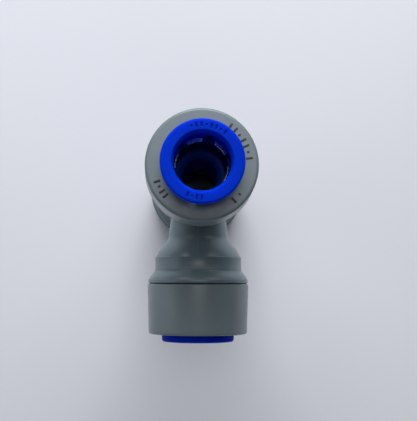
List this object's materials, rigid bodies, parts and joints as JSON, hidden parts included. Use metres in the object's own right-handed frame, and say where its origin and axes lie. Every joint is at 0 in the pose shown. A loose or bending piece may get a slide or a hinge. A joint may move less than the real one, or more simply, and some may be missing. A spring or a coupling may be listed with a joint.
{
  "type": "push to connect fitting",
  "caption": "Equal tee push-in fitting with end caps, sliding release collets with gripping teeth, and stacked ring seals in each port, for joining plastic tube.",
  "frame": {"origin": "centre of the bottom port's collet face, which the fitting stands on", "axes": "+Z along the straight run from the bottom port to the top port; the branch port points along -Y; +X completes the frame"},
  "size_m": [0.02, 0.0416, 0.0668],
  "materials": {
    "grey_body": "fine matt moulded, cool grey",
    "grey_cap": "fine matt moulded, cool grey",
    "blue_collet": "satin moulded, strong blue",
    "stainless_teeth": "bright stamped edge",
    "black_rubber": "smooth, lightly greased",
    "ring_plastic": "moulded, dark blue, satin"
  },
  "bodies": {
    "fitting": {"body": "grey_body", "cap_top": "grey_cap", "inner_o_ring_top": "black_rubber", "spacer_ring_top": "ring_plastic", "outer_o_ring_top": "black_rubber", "retaining_washer_top": "ring_plastic", "cap_bottom": "grey_cap", "inner_o_ring_bottom": "black_rubber", "spacer_ring_bottom": "ring_plastic", "outer_o_ring_bottom": "black_rubber", "retaining_washer_bottom": "ring_plastic", "cap_branch": "grey_cap", "inner_o_ring_branch": "black_rubber", "spacer_ring_branch": "ring_plastic", "outer_o_ring_branch": "black_rubber", "retaining_washer_branch": "ring_plastic"},
    "top_collet": {"collet_top": "blue_collet", "collet_teeth_top": "stainless_teeth"},
    "bottom_collet": {"collet_bottom": "blue_collet", "collet_teeth_bottom": "stainless_teeth"},
    "branch_collet": {"collet_branch": "blue_collet", "collet_teeth_branch": "stainless_teeth"}
  },
  "joints": [
    {"name": "top_collet_slide", "type": "slide", "parent": "fitting", "child": "top_collet", "axis": [0, 0, -1], "range_m": [0, 0.0036]},
    {"name": "bottom_collet_slide", "type": "slide", "parent": "fitting", "child": "bottom_collet", "axis": [0, 0, -1], "range_m": [0, 0.0036]},
    {"name": "branch_collet_slide", "type": "slide", "parent": "fitting", "child": "branch_collet", "axis": [0, -1, 0], "range_m": [0, 0.0036]}
  ]
}
